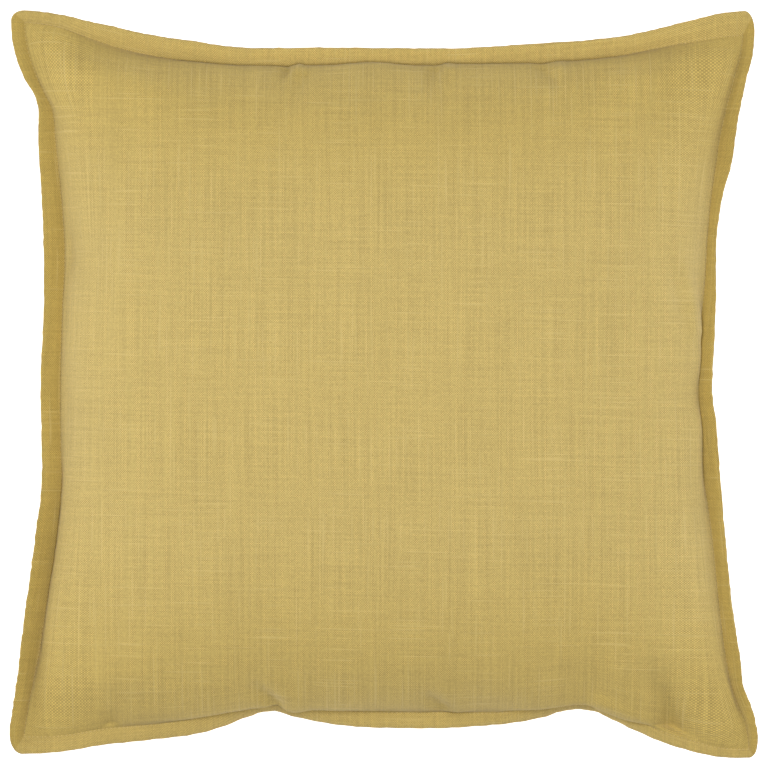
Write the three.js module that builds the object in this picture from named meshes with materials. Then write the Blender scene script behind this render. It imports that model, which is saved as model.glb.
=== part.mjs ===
// Flange throw pillow: two square panels of slub-weave cloth round one filling, joined by a line of
// topstitching that leaves a narrow flange of two layers all round. The pillow lies on its back with
// its face up. Millimetres, +Z up; the origin is on the surface below the middle of the pillow.

import * as THREE from 'three';
import { ParametricGeometry } from 'three/addons/geometries/ParametricGeometry.js';
import { mergeGeometries, mergeVertices } from 'three/addons/utils/BufferGeometryUtils.js';

// Driving dimensions
const COVER = 508;          // side of the cover laid flat, edge to edge
const FLANGE = 15;          // from the stitching to the edge
const SEAM_HEIGHT = 58;     // stitching above the surface
const FRONT_CROWN = 74;     // middle of the face above the stitching
const BACK_CROWN = 70;      // middle of the back below the stitching, before it is pressed flat
const TIP_RADIUS = 13;      // rounding of the four corner tips
const LAYER = 1.2;          // one flange layer: the cloth with its turned-in allowance
const CLEARANCE = 0.3;      // between one piece and the next

// How the cloth takes up the filling
const CROWN_POWER = 2.2;    // 2 is an ellipse across the middle, more is a fuller shoulder
const FRONT_SLACK = 0.1;    // how much more cloth than chord the face has across its middle
const BACK_SLACK = 0.09;
const NECK = 2.5;           // cloth that stands straight up from the stitching
const BULGE_AT = 11;        // where the face hangs out over its flange the furthest
const BULGE_GAIN = 1.35;    // makes up for what the crown draws in at that place
const BACK_BULGE = 0.5;     // the back hangs out less than the face
const FULL_LEAN = 15;       // degrees of flange tilt from which the back hangs out in full
const LEAST_SLACK = 0.001;  // at a seam, where a section has no crown left
const STAND_OFF = 1.5;      // layer thicknesses that a tilted layer starts away from the stitching
const TWIST = 3;            // two opposite corners lie this much higher, the others lower
const CORNER_DROP = 4;      // all four corners hang below the sides
const SEAM_RIPPLE = 1.2;    // the stitching's own wave
const RIPPLE_LENGTH = 128;

// Steps of the meshes
const PANEL_STEPS = 44;
const EDGE_CROWDING = 0.11; // threads followed lie closer together near the stitching
const TIP_STEPS = 4;
const NORMAL_STEP = 0.002;
const CORNER_PASSES = 14;

const HALF_COVER = COVER / 2;
const HALF_SEAM = HALF_COVER - FLANGE;
const { clamp, degToRad, smoothstep } = THREE.MathUtils;

// Each side as it lies, a row for each place along it. Columns: at, the place along the side from
// its middle; edge and seam, the flange's edge and the stitching from the pillow's middle; over, how
// far the face hangs out past the stitching; tilt, the flange's slope in degrees, up to its edge.
const TOP = side('x', 1, [
  [-251, 250.6, 242.6, 0, 24],
  [-240, 250.6, 242.4, 0, 24],
  [-218, 248, 239.4, 0, 24],
  [-200, 243.8, 232.8, 0, 24],
  [-183, 240, 226.8, 0, 22],
  [-158, 234.4, 221, 0, 22],
  [-128, 229.9, 216.8, 0.6, 24],
  [-98, 225.7, 213.2, 1.2, 28],
  [-40, 225.4, 212.6, 1.6, 30],
  [48, 224.9, 212.8, 1.8, 32],
  [80, 226.6, 214, 1.5, 30],
  [108, 228.7, 215.2, 1, 26],
  [137, 230.6, 218.2, 0.8, 24],
  [167, 234.5, 222.4, 0.4, 20],
  [186, 238.9, 225.8, 0, 16],
  [206, 244, 229.4, 0, 12],
  [224, 248.6, 232.4, 0, 8],
  [240, 250.6, 233.6, 0, 6],
  [251, 250.8, 234, 0, 6],
]);
const RIGHT = side('y', 1, [
  [-251, 248.8, 244.8, 0, 30],
  [-240, 250.7, 244.8, 0, 30],
  [-227, 249.4, 241.6, 0, 30],
  [-215, 245.9, 235.8, 0, 34],
  [-204, 241.6, 232, 0.4, 38],
  [-185, 239.2, 227.4, 0.8, 38],
  [-150, 234, 223, 1.6, 38],
  [-90, 228, 216.4, 2.2, 38],
  [-30, 223, 211.6, 2.2, 38],
  [-4, 219.9, 208.8, 2.4, 42],
  [20, 221.2, 210.8, 2.4, 38],
  [60, 223.1, 212.4, 2.4, 34],
  [100, 223.7, 213, 2.2, 32],
  [130, 228.5, 218, 1.4, 30],
  [150, 234, 223.6, 0.8, 30],
  [166, 236, 225.6, 0.2, 30],
  [190, 240.2, 231.2, 0, 30],
  [207, 244.2, 236, 0, 30],
  [220, 247.6, 239.6, 0, 28],
  [236, 249.2, 241.4, 0, 24],
  [251, 249.6, 241.6, 0, 20],
]);
const BOTTOM = side('x', -1, [
  [-251, 249, 236.4, 0, -8],
  [-217, 247.1, 235.5, 0, -14],
  [-184, 241.9, 230, 0, -22],
  [-155, 238.9, 228, 0.8, -28],
  [-128, 235.4, 224.6, 1.6, -34],
  [-105, 229, 219.4, 2.6, -44],
  [-90, 223.2, 215.4, 4.2, -54],
  [-75, 219.4, 213.2, 5.2, -60],
  [-60, 223.2, 214.8, 4.2, -52],
  [-38, 227.9, 217.8, 3, -42],
  [0, 230.8, 218.6, 2.4, -34],
  [48, 230.6, 218.4, 2.2, -34],
  [80, 228.2, 218, 3, -42],
  [108, 223.4, 214.8, 4, -52],
  [124, 219, 212.6, 5, -60],
  [140, 219, 212.8, 5, -60],
  [153, 224.6, 217.4, 3.6, -52],
  [166, 231.2, 223.8, 2, -44],
  [186, 239.8, 232.4, 0.8, -36],
  [204, 245.6, 238, 0, -28],
  [225, 250.4, 243.8, 0, -20],
  [251, 250.8, 244.8, 0, -12],
]);
const LEFT = side('y', -1, [
  [-251, 249, 241.4, 0, 30],
  [-235, 250.6, 241.4, 0, 34],
  [-222, 249.2, 239.8, 0, 38],
  [-199, 245.5, 236, 0.4, 42],
  [-182, 243.7, 232.6, 0.6, 40],
  [-164, 241.6, 229.8, 0.4, 36],
  [-138, 237.9, 225.2, 0, 32],
  [-100, 232.7, 219.6, 0, 30],
  [-60, 228.6, 216, 0, 32],
  [0, 229.9, 216.8, 0, 30],
  [75, 227.3, 214, 0, 31],
  [130, 229.2, 216.4, 0, 31],
  [165, 231.6, 220, 0, 32],
  [185, 231.6, 222.4, 0, 34],
  [195, 234.8, 227.4, 0, 36],
  [203, 239.8, 231.2, 0, 34],
  [217, 245.9, 236.2, 0, 28],
  [232, 249.2, 239.8, 0, 24],
  [251, 250.2, 240.2, 0, 20],
]);
const SIDES = [TOP, RIGHT, BOTTOM, LEFT];

// Folds of the face, deepest at the end that starts at the stitching. Depth is negative in a trough.
const FOLDS = [
  { x: -65, y: 214, toX: -59, toY: 184, width: 7, depth: -6 },
  { x: -52, y: 214, toX: -48, toY: 186, width: 8, depth: 3 },
  { x: 39, y: 214, toX: 37, toY: 192, width: 6, depth: -5 },
  { x: 50, y: 214, toX: 50, toY: 192, width: 7, depth: 2.5 },
  { x: 114, y: 216, toX: 125, toY: 190, width: 8, depth: -3 },
  { x: -222, y: 234, toX: -140, toY: 205, width: 11, depth: -5 },
  { x: -196, y: 222, toX: -150, toY: 180, width: 20, depth: -4 },
  { x: 234, y: 228, toX: 210, toY: 200, width: 8, depth: -3 },
  { x: 213, y: 45, toX: 199, toY: 84, width: 7, depth: 4 },
  { x: 211, y: 58, toX: 190, toY: 92, width: 9, depth: -3 },
  { x: 210, y: -8, toX: 182, toY: -14, width: 10, depth: -5 },
  { x: -214, y: 84, toX: -186, toY: 90, width: 14, depth: -4 },
  { x: -214, y: 20, toX: -190, toY: 18, width: 12, depth: 2 },
  { x: -74, y: -217, toX: -90, toY: -190, width: 9, depth: -6 },
  { x: -50, y: -221, toX: -52, toY: -196, width: 12, depth: 4 },
  { x: 36, y: -222, toX: 26, toY: -202, width: 7, depth: -4.5 },
  { x: 132, y: -217, toX: 122, toY: -192, width: 13, depth: -5 },
  { x: 192, y: -230, toX: 168, toY: -192, width: 12, depth: -6 },
  { x: 158, y: -224, toX: 150, toY: -196, width: 11, depth: 4 },
];

// Section of one flange layer, from the stitching to the edge and back along its inner face.
// Across is a share of the flange's width, up a share of the layer's thickness.
const LAYER_SECTION = [
  { across: 0, up: 0.95 },
  { across: 0.65, up: 1.1 },
  { across: 0.95, up: 0.9 },
  { across: 1, up: 0.4 },
  { across: 0.95, up: 0 },
  { across: 0, up: 0 },
];
const CLOTH_COLOUR = new THREE.Color().setRGB(0.58, 0.44, 0.15);
const FLANGE_COLOUR = new THREE.Color().setRGB(0.5, 0.37, 0.12);

// A side along one axis, on the positive or negative side of the other
function side(along, sign, rows) {
  const places = rows.map((row) => row[0]);
  const values = rows.flatMap((row) => row.slice(1));
  const curve = new THREE.CubicInterpolant(places, values, values.length / rows.length);
  return { along, sign, curve };
}

// The side at one place, from the table's rows before and after it
function readSide(which, at) {
  const [edge, seam, over, tilt] = which.curve.evaluate(at);
  return { edge, seam, over: Math.max(0, over), slope: degToRad(tilt) };
}

// Where two neighbouring sides cross, along their stitching or along their edges
function crossing(across, beside, line) {
  const point = new THREE.Vector2(beside.sign * HALF_SEAM, across.sign * HALF_SEAM);
  for (let pass = 0; pass < CORNER_PASSES; pass += 1) {
    point.x = beside.sign * readSide(beside, point.y)[line];
    point.y = across.sign * readSide(across, point.x)[line];
  }
  return point;
}

function corners(line) {
  const pairs = { topLeft: [TOP, LEFT], topRight: [TOP, RIGHT] };
  Object.assign(pairs, { bottomLeft: [BOTTOM, LEFT], bottomRight: [BOTTOM, RIGHT] });
  const named = Object.entries(pairs).map(([name, pair]) => [name, crossing(...pair, line)]);
  return Object.fromEntries(named);
}
const SEAM_CORNERS = corners('seam');
const EDGE_CORNERS = corners('edge');

// Point of the stitching on a side, at a share of the side between its two corners
function seamPoint(which, start, end, share) {
  const point = start.clone().lerp(end, share);
  if (which.along === 'x') {
    point.y = which.sign * readSide(which, point.x).seam;
  } else {
    point.x = which.sign * readSide(which, point.y).seam;
  }
  return point;
}

// Plan of the square inside the stitching: u and v run from -1 to 1 between opposite seams
function panelPlan(u, v) {
  const { topLeft, topRight, bottomLeft, bottomRight } = SEAM_CORNERS;
  const right = (u + 1) / 2;
  const up = (v + 1) / 2;
  const point = new THREE.Vector2();
  point.addScaledVector(seamPoint(BOTTOM, bottomLeft, bottomRight, right), 1 - up);
  point.addScaledVector(seamPoint(TOP, topLeft, topRight, right), up);
  point.addScaledVector(seamPoint(LEFT, bottomLeft, topLeft, up), 1 - right);
  point.addScaledVector(seamPoint(RIGHT, bottomRight, topRight, up), right);
  point.addScaledVector(bottomLeft, -(1 - right) * (1 - up));
  point.addScaledVector(bottomRight, -right * (1 - up));
  point.addScaledVector(topLeft, -(1 - right) * up);
  point.addScaledVector(topRight, -right * up);
  return point;
}

// Height of the stitching's surface above the floor at a place in plan
function seamHeight(x, y) {
  const right = x / HALF_COVER;
  const up = y / HALF_COVER;
  const corner = (right * up) ** 2;
  const ripple = Math.sin((2 * Math.PI * (x + y)) / RIPPLE_LENGTH) * (right ** 4 + up ** 4 - corner);
  return SEAM_HEIGHT - TWIST * right * up - CORNER_DROP * corner + SEAM_RIPPLE * ripple;
}

// A thread's place across a section once the crown has drawn its cloth inwards
function drawnIn(place, slack) {
  const share = Math.max(slack, LEAST_SLACK);
  return place * (1 + share - share * Math.abs(place) ** (1 / share));
}

function shoulder(place) {
  return Math.sqrt(Math.max(0, 1 - Math.abs(place) ** CROWN_POWER));
}

// How far a panel hangs out past its stitching, at a length of cloth from it
function bulge(over, cloth) {
  const share = Math.max(0, cloth - NECK) / BULGE_AT;
  return BULGE_GAIN * over * share * Math.exp(1 - share);
}

// A smooth panel without its folds: the point at u, v on the face, or on the back
function crownedPoint(u, v, isFace) {
  const slack = isFace ? FRONT_SLACK : BACK_SLACK;
  const drawnU = drawnIn(u, slack * shoulder(v));
  const drawnV = drawnIn(v, slack * shoulder(u));
  const plan = panelPlan(drawnU, drawnV);
  const base = seamHeight(plan.x, plan.y);
  for (const which of SIDES) {
    const [place, other] = which.along === 'x' ? [v, u] : [u, v];
    const { over, slope } = readSide(which, which.along === 'x' ? plan.x : plan.y);
    const share = isFace ? 1 : BACK_BULGE * smoothstep(slope, 0, degToRad(FULL_LEAN));
    const reach = bulge(over * share, HALF_SEAM * (1 - which.sign * place)) * shoulder(other) ** 2;
    plan[which.along === 'x' ? 'y' : 'x'] += which.sign * reach;
  }
  const rise = shoulder(drawnU) * shoulder(drawnV);
  return new THREE.Vector3(plan.x, plan.y, base + (isFace ? FRONT_CROWN : -BACK_CROWN) * rise);
}

// Depth of all the folds at a point of the face, fading out towards the stitching
function foldDepth(point, cloth) {
  let depth = 0;
  for (const fold of FOLDS) {
    const start = new THREE.Vector3(fold.x, fold.y, 0);
    const line = new THREE.Line3(start, new THREE.Vector3(fold.toX, fold.toY, 0));
    const flat = new THREE.Vector3(point.x, point.y, 0);
    const along = line.closestPointToPointParameter(flat, true);
    const away = line.at(along, new THREE.Vector3()).distanceTo(flat) / fold.width;
    depth += fold.depth * (1 - along * along) * Math.exp(-away * away);
  }
  return depth * smoothstep(cloth, NECK, NECK + BULGE_AT);
}

// Point of the face or of the back, which is flat where the surface presses it
function panelPoint(u, v, isFace) {
  const point = crownedPoint(u, v, isFace);
  const cloth = HALF_SEAM * (1 - Math.max(Math.abs(u), Math.abs(v)));
  if (isFace && cloth > NECK) {
    const stepU = crownedPoint(u + NORMAL_STEP, v, isFace).sub(point);
    const stepV = crownedPoint(u, v + NORMAL_STEP, isFace).sub(point);
    point.addScaledVector(stepU.cross(stepV).normalize(), foldDepth(point, cloth));
  }
  point.z = Math.max(0, point.z);
  return point;
}

// The threads that the panel's mesh follows: one at each seam, one at each neck, the rest between
function threadPlaces() {
  const neck = 1 - NECK / HALF_SEAM;
  const inner = PANEL_STEPS - 2;
  const places = [-1];
  for (let step = 0; step <= inner; step += 1) {
    const even = (2 * step) / inner - 1;
    places.push(neck * (even + EDGE_CROWDING * Math.sin(Math.PI * even)));
  }
  places.push(1);
  return places;
}

function cushionGeometry() {
  const places = threadPlaces();
  const thread = (share) => places[Math.round(share * PANEL_STEPS)];
  const face = (u, v, target) => target.copy(panelPoint(thread(u), thread(v), true));
  const back = (u, v, target) => target.copy(panelPoint(thread(v), thread(u), false));
  // The surface calls its function again a hair away to find normals, which rounding makes the same
  const panels = [face, back].map((panel) => new ParametricGeometry(panel, PANEL_STEPS, PANEL_STEPS));
  return closedGeometry(mergeGeometries(panels.map(positionsOnly)));
}

// How much higher a flange's edge lies than its stitching
function rowLift({ edge, seam, slope }) {
  return (edge - seam) * Math.tan(slope);
}

// Middle surface of the flange at a point a, b of the flat cover outside its stitching
function flangePoint(a, b) {
  const beside = a > 0 ? RIGHT : LEFT;
  const across = b > 0 ? TOP : BOTTOM;
  const outA = Math.max(0, Math.abs(a) - HALF_SEAM) / FLANGE;
  const outB = Math.max(0, Math.abs(b) - HALF_SEAM) / FLANGE;
  const seam = panelPlan(clamp(a / HALF_SEAM, -1, 1), clamp(b / HALF_SEAM, -1, 1));
  const besideRow = readSide(beside, seam.y);
  const acrossRow = readSide(across, seam.x);
  const name = (across === TOP ? 'top' : 'bottom') + (beside === RIGHT ? 'Right' : 'Left');
  const plan = new THREE.Vector2();
  plan.addScaledVector(seam, (1 - outA) * (1 - outB));
  plan.addScaledVector(new THREE.Vector2(beside.sign * besideRow.edge, seam.y), outA * (1 - outB));
  plan.addScaledVector(new THREE.Vector2(seam.x, across.sign * acrossRow.edge), (1 - outA) * outB);
  plan.addScaledVector(EDGE_CORNERS[name], outA * outB);
  const lift = outA * rowLift(besideRow) + outB * rowLift(acrossRow);
  return new THREE.Vector3(plan.x, plan.y, seamHeight(plan.x, plan.y) + lift);
}

// Flat points round the cover's edge, anticlockwise, with its rounded tips
function edgeLoop() {
  const loop = [];
  const tip = HALF_COVER - TIP_RADIUS;
  for (let quarter = 0; quarter < 4; quarter += 1) {
    const turn = (quarter * Math.PI) / 2;
    const add = (a, b) => loop.push(new THREE.Vector2(a, b).rotateAround(new THREE.Vector2(), turn));
    for (const place of threadPlaces()) {
      add(HALF_COVER, HALF_SEAM * place);
    }
    for (let step = 0; step <= TIP_STEPS; step += 1) {
      const angle = (step / TIP_STEPS) * (Math.PI / 2);
      add(tip + TIP_RADIUS * Math.cos(angle), tip + TIP_RADIUS * Math.sin(angle));
    }
  }
  return loop;
}

// One layer of the flange: a ring above the middle surface, or below it
function layerGeometry(upward) {
  const loop = edgeLoop();
  const positions = [];
  for (const flat of loop) {
    const seam = flangePoint(clamp(flat.x, -HALF_SEAM, HALF_SEAM), clamp(flat.y, -HALF_SEAM, HALF_SEAM));
    const edge = flangePoint(flat.x, flat.y);
    const outward = edge.clone().sub(seam);
    const width = outward.length();
    outward.normalize();
    const level = Math.hypot(outward.x, outward.y);
    const normal = new THREE.Vector3(-outward.x / level, -outward.y / level, 0);
    normal.multiplyScalar(outward.z).setZ(level);
    const start = (CLEARANCE + STAND_OFF * LAYER * Math.abs(outward.z)) / level;
    for (const { across, up } of LAYER_SECTION) {
      const point = seam.clone().addScaledVector(outward, start + across * (width - start));
      const offset = CLEARANCE / 2 + up * LAYER;
      positions.push(...point.addScaledVector(normal, upward ? offset : -offset).toArray());
    }
  }
  const geometry = new THREE.BufferGeometry();
  geometry.setAttribute('position', new THREE.Float32BufferAttribute(positions, 3));
  geometry.setIndex(ringFaces(loop.length, LAYER_SECTION.length, upward));
  return closedGeometry(geometry);
}

// Triangles of a closed ring of sections, facing outwards on a section that runs clockwise
function ringFaces(sections, points, clockwise) {
  const faces = [];
  for (let section = 0; section < sections; section += 1) {
    for (let point = 0; point < points; point += 1) {
      const next = ((section + 1) % sections) * points;
      const here = section * points;
      const after = (point + 1) % points;
      const [a, b, c, d] = [here + point, here + after, next + after, next + point];
      faces.push(...(clockwise ? [a, b, c, a, c, d] : [a, c, b, a, d, c]));
    }
  }
  return faces;
}

function positionsOnly(geometry) {
  geometry.deleteAttribute('normal');
  geometry.deleteAttribute('uv');
  return geometry;
}

function closedGeometry(geometry) {
  const closed = mergeVertices(geometry);
  closed.computeVertexNormals();
  return closed;
}

function cloth(color) {
  return new THREE.MeshStandardMaterial({ color, roughness: 0.92, metalness: 0 });
}

function piece(name, geometry, color) {
  const mesh = new THREE.Mesh(geometry, cloth(color));
  mesh.name = name;
  return mesh;
}

const pillow = new THREE.Group();
pillow.add(piece('cushion', cushionGeometry(), CLOTH_COLOUR));
pillow.add(piece('flange_front', layerGeometry(true), FLANGE_COLOUR));
pillow.add(piece('flange_back', layerGeometry(false), FLANGE_COLOUR));

export default pillow;
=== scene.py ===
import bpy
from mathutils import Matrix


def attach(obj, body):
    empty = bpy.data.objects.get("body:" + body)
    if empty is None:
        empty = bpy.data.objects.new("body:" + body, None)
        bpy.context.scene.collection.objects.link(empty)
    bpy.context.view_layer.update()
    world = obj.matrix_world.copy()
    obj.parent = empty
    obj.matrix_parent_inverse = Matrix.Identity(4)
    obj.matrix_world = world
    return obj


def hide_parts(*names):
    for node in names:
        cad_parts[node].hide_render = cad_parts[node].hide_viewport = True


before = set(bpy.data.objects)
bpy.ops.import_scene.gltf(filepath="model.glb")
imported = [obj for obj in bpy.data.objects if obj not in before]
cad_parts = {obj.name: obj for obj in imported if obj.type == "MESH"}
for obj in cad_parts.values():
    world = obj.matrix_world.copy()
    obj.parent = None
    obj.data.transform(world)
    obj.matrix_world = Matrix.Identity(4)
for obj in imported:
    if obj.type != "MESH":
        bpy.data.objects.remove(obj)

"""Flange throw pillow, dressed: one filled cover of slub cloth, topstitched round a narrow flange.

The cover starts as two flat panels. They are brought to the form that the filling gives them, let go
in a short cloth simulation, creased where cloth is gathered into the stitching, and stitched.
Lengths are in millimetres until a mesh or a light is made, which is in metres.
"""

import logging
from dataclasses import dataclass, field
from enum import Enum

import bpy
import numpy as np
from mathutils import Vector

LOG = logging.getLogger("flange_pillow")
MM = 0.001
LEAST = 1e-12
TOUCHING = 1e-6
ROOT = "root"
Array = np.ndarray
Rows = tuple[tuple[float, ...], ...]


class Panel(Enum):
    """The two panels of the cover."""

    FACE = 1
    BACK = -1


class Corner(Enum):
    """The four corners, as the sides across and beside them point: sign along y, sign along x."""

    TOP_LEFT = (1, -1)
    TOP_RIGHT = (1, 1)
    BOTTOM_LEFT = (-1, -1)
    BOTTOM_RIGHT = (-1, 1)


def through(places: Array, values: Array, at: Array) -> Array:
    """Draw a smooth curve through rows of values and read it.

    Args:
        places: where the rows are, rising.
        values: one row for each place, of any shape behind its first axis.
        at: where the curve is read; past the ends it keeps its last value.

    Returns:
        One row of values for each place in at.
    """
    shape = (-1,) + (1,) * (values.ndim - 1)
    slopes = np.diff(values, axis=0) / np.diff(places).reshape(shape)
    tangents = np.concatenate([slopes[:1], (slopes[:-1] + slopes[1:]) / 2, slopes[-1:]])
    flat = np.clip(np.ravel(at), places[0], places[-1])
    left = np.clip(np.searchsorted(places, flat, side="right") - 1, 0, len(places) - 2)
    step = places[left + 1] - places[left]
    share = ((flat - places[left]) / step).reshape(shape)
    step = step.reshape(shape)
    square, cube = share**2, share**3
    read = values[left] * (2 * cube - 3 * square + 1) + values[left + 1] * (3 * square - 2 * cube)
    read = read + step * (tangents[left] * (cube - 2 * square + share) + tangents[left + 1] * (cube - square))
    return read.reshape(np.shape(at) + values.shape[1:])


def smooth_step(value: Array, low: float, high: float) -> Array:
    """Rise smoothly from 0 at low to 1 at high."""
    share = np.clip((value - low) / (high - low), 0, 1)
    return share * share * (3 - 2 * share)


def unit(vectors: Array) -> Array:
    """Scale vectors in the last axis to length 1."""
    return vectors / np.maximum(np.linalg.norm(vectors, axis=-1, keepdims=True), LEAST)


def waves(at: Array, lengths: tuple[float, ...], seed: int) -> Array:
    """Add up sine waves of uneven strength.

    Args:
        at: where the sum is read.
        lengths: length of each wave.
        seed: seed of the waves' phases and strengths.

    Returns:
        A value between about -1 and 1 for each place.
    """
    draw = np.random.default_rng(seed)
    total = np.zeros(np.shape(at))
    for length in lengths:
        phase, strength = draw.uniform(0, 2 * np.pi), draw.uniform(0.6, 1)
        total += strength * np.sin(2 * np.pi * at / length + phase)
    return total / len(lengths)


def quads(ids: Array) -> Array:
    """Give the four-sided faces of a grid of point numbers."""
    return np.stack([ids[:-1, :-1], ids[1:, :-1], ids[1:, 1:], ids[:-1, 1:]], -1).reshape(-1, 4)


def put(name: str, data: bpy.types.ID) -> bpy.types.Object:
    """Make an object and link it to the scene."""
    made = bpy.data.objects.new(name, data)
    bpy.context.scene.collection.objects.link(made)
    return made


def add_node(tree: bpy.types.NodeTree, kind: str, settings: dict | None, inputs: dict | None) -> bpy.types.Node:
    """Add a node to a tree.

    Args:
        tree: the tree.
        kind: the node's type.
        settings: its properties, set first.
        inputs: values of its sockets, or sockets that feed them, by name or number.

    Returns:
        The node.
    """
    node = tree.nodes.new(kind)
    for name, value in (settings or {}).items():
        setattr(node, name, value)
    for name, value in (inputs or {}).items():
        if isinstance(value, bpy.types.NodeSocket):
            tree.links.new(value, node.inputs[name])
        else:
            node.inputs[name].default_value = value
    return node


@dataclass(frozen=True)
class SideRun:
    """One side of the pillow as it lies.

    Attributes:
        axis: 0 where the side runs along x, 1 where it runs along y.
        sign: which side of the pillow it is on.
        rows: at, place along the side; edge and seam, the flange's edge and the stitching from the
            pillow's middle; over, how far the face hangs out past the stitching, or below 0 leans
            back from it; tilt, the flange's slope in degrees up to its edge.
    """

    axis: int
    sign: int
    rows: Rows

    def read(self, at: Array) -> tuple[Array, Array, Array, Array]:
        """Read the side.

        Args:
            at: places along the side.

        Returns:
            The edge, the seam, the overhang and the slope in radians at each place.
        """
        table = np.array(self.rows)
        edge, seam, over, tilt = np.moveaxis(through(table[:, 0], table[:, 1:], at), -1, 0)
        return edge, seam, over, np.radians(tilt)


TOP = SideRun(0, 1, (
    (-251, 250.6, 242.6, 0, 12), (-240, 250.6, 242.4, 0, 12), (-218, 248, 239.4, 0, 14),
    (-200, 243.8, 232.8, 0, 16), (-183, 240, 226.8, 0, 18), (-158, 234.4, 220.8, 0.8, 19.3),
    (-128, 229.9, 215.4, 3.2, 17.4), (-98, 225.7, 211.4, 4.2, 18.2), (-40, 225.4, 210.8, 4.2, 19.5),
    (-6, 225.2, 210.9, 5.6, 20.2), (20, 225, 211, 4.2, 20.2), (48, 224.9, 211, 4.8, 20.8),
    (80, 226.6, 212.2, 4.3, 19.5), (108, 228.7, 213.4, 4.1, 16.9), (137, 230.6, 216.7, 3.4, 16.8),
    (167, 234.5, 221.9, 1.4, 18.2), (186, 238.9, 225.8, 0.2, 15.9), (206, 244, 229.4, 0, 12),
    (224, 248.6, 232.4, 0.2, 8), (240, 250.6, 233.6, 0.6, 6), (251, 250.8, 234, 0, 6),
))
RIGHT = SideRun(1, 1, (
    (-251, 248.8, 244.8, 0, 26), (-240, 250.7, 244.8, 0, 28), (-227, 249.4, 242.4, 0, 30),
    (-215, 245.9, 237.4, -0.2, 28), (-204, 241.6, 233.8, -0.6, 25), (-185, 239.2, 229.8, -1, 21),
    (-150, 234, 225.2, -1.4, 18), (-90, 228, 218.6, -1.4, 18), (-56, 225, 213.4, 1.6, 28),
    (-30, 223, 210, 4.6, 31), (-4, 219.9, 207.8, 5.2, 38), (20, 221.2, 209.6, 4.2, 27),
    (60, 223.1, 214.8, -1.6, 12), (100, 223.7, 217.4, -2.2, 10), (130, 228.5, 220.4, -2.4, 15),
    (150, 234, 223.4, -2.2, 20), (166, 236, 225.8, -1.6, 22), (190, 240.2, 231.4, -0.8, 24),
    (207, 244.2, 236, 0.6, 24), (220, 247.6, 239.6, 2, 24), (236, 249.2, 241.4, 1.6, 22),
    (251, 249.6, 241.6, 0, 18),
))
BOTTOM = SideRun(0, -1, (
    (-251, 249, 236.4, 0, -2), (-217, 247.1, 236, 0, -4), (-184, 241.9, 230.8, 0, -10),
    (-155, 238.9, 228.4, 0.6, -16), (-128, 235.4, 224.4, 2, -26), (-105, 229, 218.6, 4, -36),
    (-90, 223.2, 214.2, 5.6, -44), (-75, 219.4, 211.8, 6.4, -49), (-60, 223.2, 213.6, 5.6, -42),
    (-38, 227.9, 217.8, 2.8, -28), (0, 230.8, 219.6, 1.4, -18), (48, 230.6, 220, 1, -17),
    (80, 228.2, 219.8, 1, -25), (108, 223.4, 214.4, 5.6, -42), (124, 219, 211.4, 7.4, -50),
    (140, 219, 211.6, 7.6, -50), (153, 224.6, 216.4, 6.4, -44), (166, 231.2, 223.2, 4.4, -38),
    (186, 239.8, 232.4, 1.4, -24), (204, 245.6, 238, 0, -14), (225, 250.4, 243.8, 0, -8),
    (251, 250.8, 244.8, 0, -4),
))
LEFT = SideRun(1, -1, (
    (-251, 249, 241.4, 0.4, 28), (-235, 250.6, 241.2, 0.8, 34), (-222, 249.2, 239.4, 1.4, 38),
    (-199, 245.5, 234.8, 2, 38), (-182, 243.7, 231.4, 2, 36), (-164, 241.6, 228.6, 2, 34),
    (-138, 237.9, 224.2, 2.2, 34), (-100, 232.7, 217.8, 2.6, 34), (-70, 229.2, 215.8, 1, 28),
    (-40, 229.2, 216.4, -1.4, 17), (0, 229.9, 216.6, -2, 13), (50, 227.8, 215.2, -1.8, 15),
    (86, 227.6, 213.6, -1.6, 22), (122, 228.9, 215.6, -1.8, 14), (165, 231.6, 220, -1.6, 10),
    (185, 231.6, 222.4, -1, 10), (195, 234.8, 227.4, -0.6, 10), (203, 239.8, 231.2, 0, 10),
    (217, 245.9, 236.2, 0, 8), (232, 249.2, 239.8, 0, 7), (251, 250.2, 240.2, 0, 6),
))
SIDES = (TOP, RIGHT, BOTTOM, LEFT)


@dataclass(frozen=True)
class Fold:
    """A fold of the face, deepest where it starts.

    Attributes:
        start: plan of its deep end.
        end: plan of the end where it fades out.
        width: distance from its line at which it has lost two thirds of its depth.
        depth: negative in a trough.
        bow: how far its line bends sideways, to its left as it runs.
    """

    start: tuple[float, float]
    end: tuple[float, float]
    width: float
    depth: float
    bow: float = 0

    def lift(self, plan: Array) -> Array:
        """Give the fold's height along the surface normal at places in plan."""
        start, end = np.array(self.start), np.array(self.end)
        run = end - start
        share = np.clip((plan - start) @ run / (run @ run), 0, 1)
        aside = np.array([-run[1], run[0]]) / np.hypot(*run)
        line = start + share[..., None] * run + (4 * self.bow * share * (1 - share))[..., None] * aside
        away = np.linalg.norm(plan - line, axis=-1) / self.width
        return self.depth * (1 - share**2) * np.exp(-(away**2))


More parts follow.
